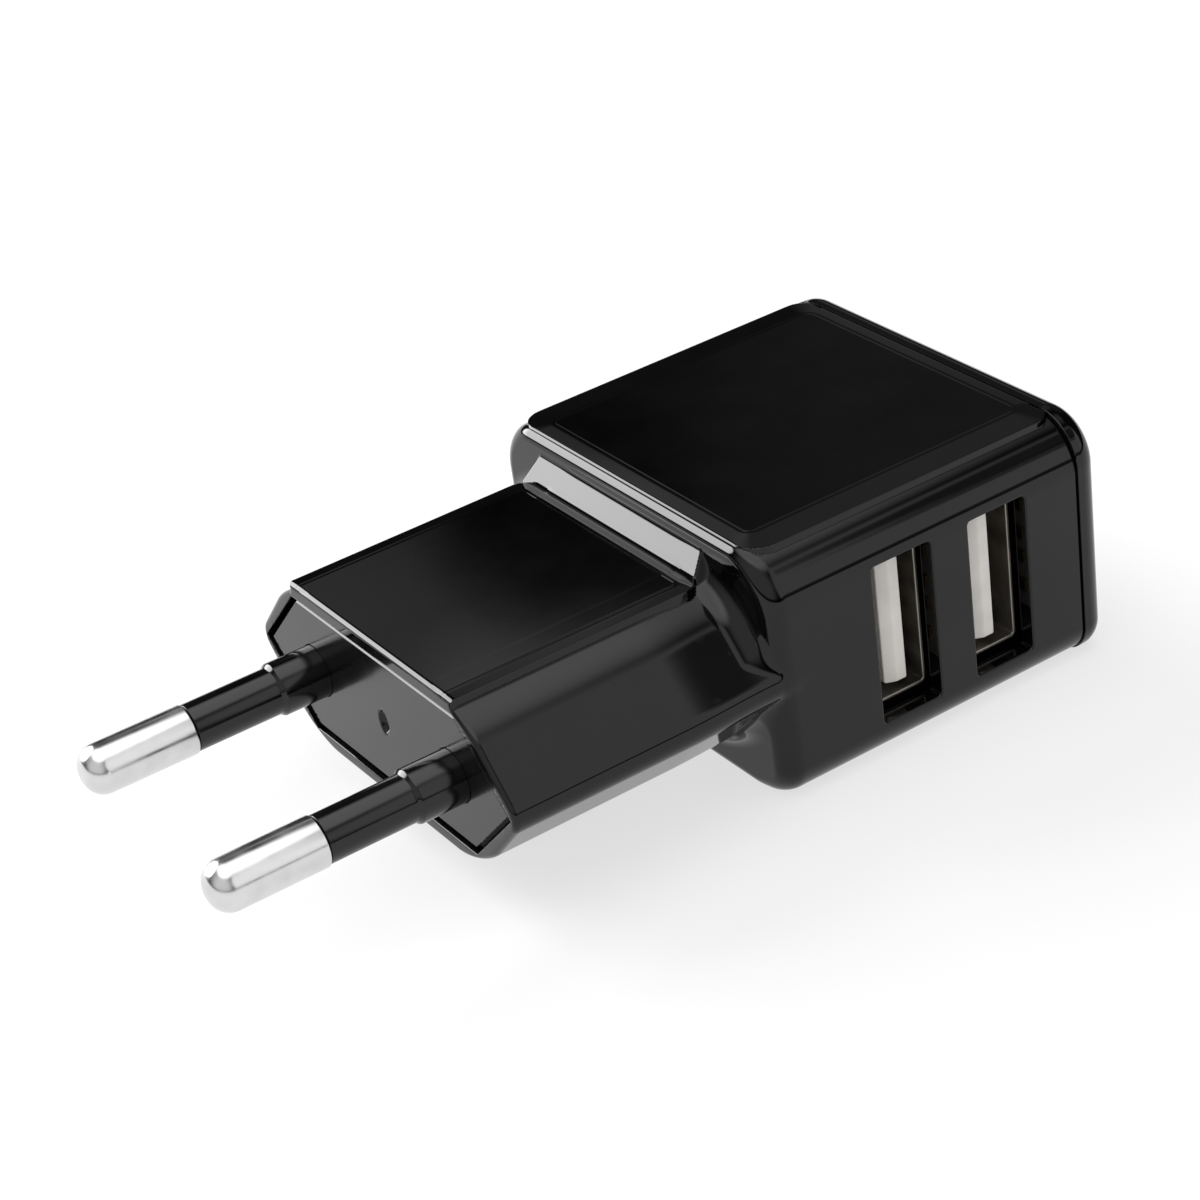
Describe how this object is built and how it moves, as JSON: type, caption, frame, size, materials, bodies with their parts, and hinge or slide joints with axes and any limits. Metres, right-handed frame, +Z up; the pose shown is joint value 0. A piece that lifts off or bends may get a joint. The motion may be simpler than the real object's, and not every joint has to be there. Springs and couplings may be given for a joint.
{
  "type": "usb wall charger",
  "caption": "Glossy black wall charger with a flat pinned plug at the front and upright USB-A sockets in the side of its square body.",
  "frame": {"origin": "middle of the rim of the plug face, on the mid-line between the pins", "axes": "+Z up with the charger lying on the underside of its body, -Y the way the pins point, +X the way the USB sockets open"},
  "size_m": [0.0356, 0.0729, 0.0202],
  "materials": {
    "gloss_black": "high gloss",
    "sleeve_black": "gloss",
    "pin_metal": "polished nickel",
    "socket_steel": "bright tinned steel",
    "tongue_white": "satin",
    "contact_gold": "plated",
    "board_green": "solder mask",
    "ferrite": "matt",
    "bobbin_black": "matt",
    "winding_tape": "satin tape",
    "capacitor_sleeve": "shrink sleeve",
    "chip_black": "matt",
    "disc_blue": "dipped",
    "resistor_green": "satin",
    "wire_blue": "satin",
    "wire_brown": "satin"
  },
  "bodies": {
    "root": {"housing": "gloss_black", "end_cap": "gloss_black", "plug_plate": "gloss_black", "pin_left": "pin_metal", "pin_right": "pin_metal", "pin_sleeve_left": "sleeve_black", "pin_sleeve_right": "sleeve_black", "lead_left": "wire_blue", "lead_right": "wire_brown", "usb_shell_front": "socket_steel", "usb_shell_rear": "socket_steel", "usb_tongue_front": "tongue_white", "usb_tongue_rear": "tongue_white", "main_board": "board_green", "transformer_core": "ferrite", "transformer_bobbin": "bobbin_black", "transformer_winding": "winding_tape", "input_capacitor_left": "capacitor_sleeve", "input_capacitor_right": "capacitor_sleeve", "output_capacitor": "capacitor_sleeve", "bridge_rectifier": "chip_black", "controller_chip": "chip_black", "safety_capacitor": "disc_blue", "fuse_resistor": "resistor_green", "usb_contact_front_1": "contact_gold", "usb_contact_front_2": "contact_gold", "usb_contact_front_3": "contact_gold", "usb_contact_front_4": "contact_gold", "usb_contact_rear_1": "contact_gold", "usb_contact_rear_2": "contact_gold", "usb_contact_rear_3": "contact_gold", "usb_contact_rear_4": "contact_gold"}
  },
  "joints": []
}
